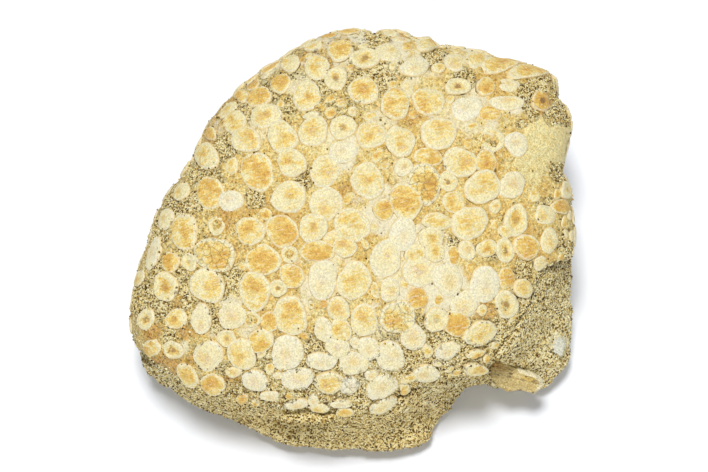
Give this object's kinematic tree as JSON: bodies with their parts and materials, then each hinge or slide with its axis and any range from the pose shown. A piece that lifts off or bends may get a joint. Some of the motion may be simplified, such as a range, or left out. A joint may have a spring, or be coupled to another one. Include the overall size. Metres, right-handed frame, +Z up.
{
  "type": "fossil fish mouth plate",
  "caption": "Fossil fish mouth plate: a domed pavement of round crushing teeth on a lump of sandy phosphate matrix.",
  "frame": {"origin": "bottom centre of the bounding box, on the surface the lump lies on", "axes": "+Z up from the resting face; +X to the right across the tooth plate; +Y towards the high back of the lump, so the plate's face leans towards -Y"},
  "size_m": [0.0662, 0.0582, 0.0368],
  "materials": {
    "tooth_enamel": "worn fossil enamel, cream to ochre, slightly glossy on the tooth crowns; stands in for stone",
    "phosphate_sand": "dull cemented phosphate sand of cream, tan and brown grains; stands in for stone",
    "fossil_bone": "dull ochre fossil bone with fibres along its length; stands in for stone"
  },
  "bodies": {
    "root": {"tooth_plate": "tooth_enamel", "matrix": "phosphate_sand", "bone_fragment": "fossil_bone"}
  },
  "joints": []
}
